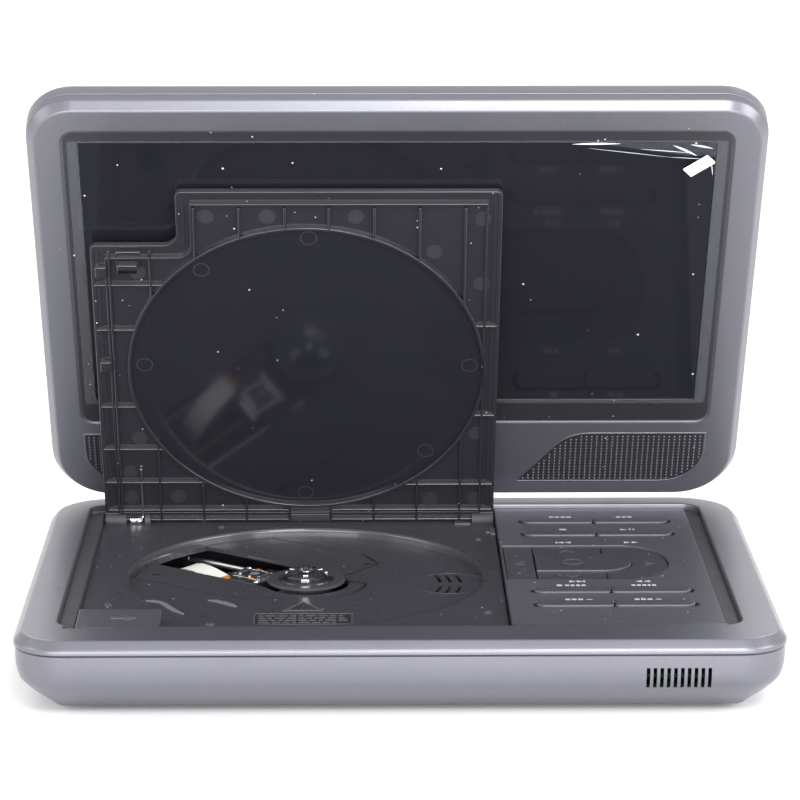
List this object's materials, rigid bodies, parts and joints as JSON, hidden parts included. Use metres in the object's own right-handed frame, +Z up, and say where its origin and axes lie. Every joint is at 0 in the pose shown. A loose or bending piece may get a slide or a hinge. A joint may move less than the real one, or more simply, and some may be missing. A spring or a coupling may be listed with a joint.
{
  "type": "portable dvd player",
  "caption": "Clamshell portable disc player, open: screen lid leaning over the base, sprung disc door up, bare disc well with spindle and pickup, key panel on the right.",
  "frame": {"origin": "middle of the footprint's bounding box, on the plane the feet stand on", "axes": "+X to the user's right, +Y to the back where the lid's hinge is, +Z up"},
  "size_m": [0.2568, 0.1958, 0.1977],
  "materials": {
    "casing": "dark gunmetal painted plastic, satin to semi-gloss, fine speckle",
    "deck": "fine-grained charcoal plastic, satin, dust specks",
    "key": "satin charcoal keys with raised front ridges",
    "screen": "black glossy screen under a clear protective film",
    "metal": "plain steel",
    "brass": "turned brass",
    "black": "moulded black plastic",
    "board": "green circuit board",
    "rubber": "soft black rubber",
    "ribbon": "white flat flexible cable",
    "lens": "clear moulded lens"
  },
  "bodies": {
    "base": {"bottom_case": "casing", "top_case": "casing", "deck_tray": "deck", "mechanism_cover": "deck", "key_panel": "deck", "key_mat": "rubber", "key_board": "board", "foot_front_left": "rubber", "foot_front_right": "rubber", "foot_back_left": "rubber", "foot_back_right": "rubber", "spindle_motor": "metal", "loader_chassis": "black", "guide_rod_front": "metal", "guide_rod_back": "metal", "sled_motor": "metal", "flat_cable": "ribbon", "battery_pack": "black", "main_board": "board", "power_inlet": "black", "headphone_socket": "black", "av_socket": "black", "bus_socket": "metal", "card_socket": "metal", "door_pin_left": "metal", "door_pin_right": "metal"},
    "swivel": {"hinge_bracket": "casing", "hinge_washer": "metal"},
    "shaft": {"hinge_shaft": "metal"},
    "lid": {"lid_front_frame": "casing", "lid_back_shell": "casing", "screen_glass": "screen", "screen_panel": "metal", "screen_board": "board", "speaker_left": "black", "speaker_right": "black"},
    "door": {"disc_door": "deck", "door_spring": "metal"},
    "spindle": {"spindle_hub": "black"},
    "sled": {"pickup_sled": "black", "pickup_lens": "lens"},
    "screw": {"lead_screw": "brass"},
    "opener": {"open_button": "deck"},
    "power": {"power_switch": "black"},
    "key_source": {"key_source": "key"},
    "key_setup": {"key_setup": "key"},
    "key_stop": {"key_stop": "key"},
    "key_play": {"key_play": "key"},
    "key_pair": {"key_pair": "key"},
    "key_card": {"key_card": "key"},
    "key_volume_down": {"key_volume_down": "key"},
    "key_volume_up": {"key_volume_up": "key"},
    "key_ok": {"key_ok": "key"},
    "key_up": {"key_up": "key"},
    "key_down": {"key_down": "key"},
    "key_left": {"key_left": "key"},
    "key_right": {"key_right": "key"}
  },
  "joints": [
    {"name": "lid_swivel", "type": "hinge", "parent": "base", "child": "swivel", "pos_m": [0, 0.08468, 0.0279], "axis": [0, 0, 1], "range_deg": [-1, 0.5]},
    {"name": "lid_tilt", "type": "hinge", "parent": "swivel", "child": "shaft", "pos_m": [0, 0.09009, 0.03298], "axis": [-1, 0, 0], "range_deg": [0, 60]},
    {"name": "lid_fold_shut", "type": "hinge", "parent": "shaft", "child": "lid", "pos_m": [0, 0.09009, 0.03298], "axis": [-1, 0, 0], "range_deg": [-59.23, 0]},
    {"name": "disc_door_hinge", "type": "hinge", "parent": "base", "child": "door", "pos_m": [0, 0.07213, 0.024], "axis": [-1, 0, 0], "range_deg": [-64, 0]},
    {"name": "spindle_spin", "type": "hinge", "parent": "base", "child": "spindle", "pos_m": [-0.0324, 0.00148, 0.0219], "axis": [0, 0, 1], "continuous": true},
    {"name": "pickup_slide", "type": "slide", "parent": "base", "child": "sled", "axis": [-0.7949, 0.6067, 0], "range_m": [0, 0.03], "deforming": ["flat_cable"]},
    {"name": "lead_screw_turn", "type": "hinge", "parent": "base", "child": "screw", "pos_m": [-0.05958, 0.02851, 0.0105], "axis": [-0.7949, 0.6067, 0], "range_deg": [0, 3600]},
    {"name": "open_button_push", "type": "slide", "parent": "base", "child": "opener", "axis": [1, 0, 0], "range_m": [0, 0.0022], "stiffness_N_per_m": 400, "springref_m": -0.001},
    {"name": "power_switch_slide", "type": "slide", "parent": "base", "child": "power", "axis": [0, 1, 0], "range_m": [0, 0.006]},
    {"name": "key_source_press", "type": "slide", "parent": "base", "child": "key_source", "axis": [0, 0, 1], "range_m": [-0.0008, 0], "stiffness_N_per_m": 300, "springref_m": 0.001},
    {"name": "key_setup_press", "type": "slide", "parent": "base", "child": "key_setup", "axis": [0, 0, 1], "range_m": [-0.0008, 0], "stiffness_N_per_m": 300, "springref_m": 0.001},
    {"name": "key_stop_press", "type": "slide", "parent": "base", "child": "key_stop", "axis": [0, 0, 1], "range_m": [-0.0008, 0], "stiffness_N_per_m": 300, "springref_m": 0.001},
    {"name": "key_play_press", "type": "slide", "parent": "base", "child": "key_play", "axis": [0, 0, 1], "range_m": [-0.0008, 0], "stiffness_N_per_m": 300, "springref_m": 0.001},
    {"name": "key_pair_press", "type": "slide", "parent": "base", "child": "key_pair", "axis": [0, 0, 1], "range_m": [-0.0008, 0], "stiffness_N_per_m": 300, "springref_m": 0.001},
    {"name": "key_card_press", "type": "slide", "parent": "base", "child": "key_card", "axis": [0, 0, 1], "range_m": [-0.0008, 0], "stiffness_N_per_m": 300, "springref_m": 0.001},
    {"name": "key_volume_down_press", "type": "slide", "parent": "base", "child": "key_volume_down", "axis": [0, 0, 1], "range_m": [-0.0008, 0], "stiffness_N_per_m": 300, "springref_m": 0.001},
    {"name": "key_volume_up_press", "type": "slide", "parent": "base", "child": "key_volume_up", "axis": [0, 0, 1], "range_m": [-0.0008, 0], "stiffness_N_per_m": 300, "springref_m": 0.001},
    {"name": "key_ok_press", "type": "slide", "parent": "base", "child": "key_ok", "axis": [0, 0, 1], "range_m": [-0.0008, 0], "stiffness_N_per_m": 300, "springref_m": 0.001},
    {"name": "key_up_press", "type": "slide", "parent": "base", "child": "key_up", "axis": [0, 0, 1], "range_m": [-0.0008, 0], "stiffness_N_per_m": 300, "springref_m": 0.001},
    {"name": "key_down_press", "type": "slide", "parent": "base", "child": "key_down", "axis": [0, 0, 1], "range_m": [-0.0008, 0], "stiffness_N_per_m": 300, "springref_m": 0.001},
    {"name": "key_left_press", "type": "slide", "parent": "base", "child": "key_left", "axis": [0, 0, 1], "range_m": [-0.0008, 0], "stiffness_N_per_m": 300, "springref_m": 0.001},
    {"name": "key_right_press", "type": "slide", "parent": "base", "child": "key_right", "axis": [0, 0, 1], "range_m": [-0.0008, 0], "stiffness_N_per_m": 300, "springref_m": 0.001}
  ],
  "couplings": [
    {"joint": "disc_door_hinge", "follows": "lid_fold_shut", "ratio": 1.0805},
    {"joint": "lead_screw_turn", "follows": "pickup_slide", "rad_per_m": 2094.4}
  ]
}
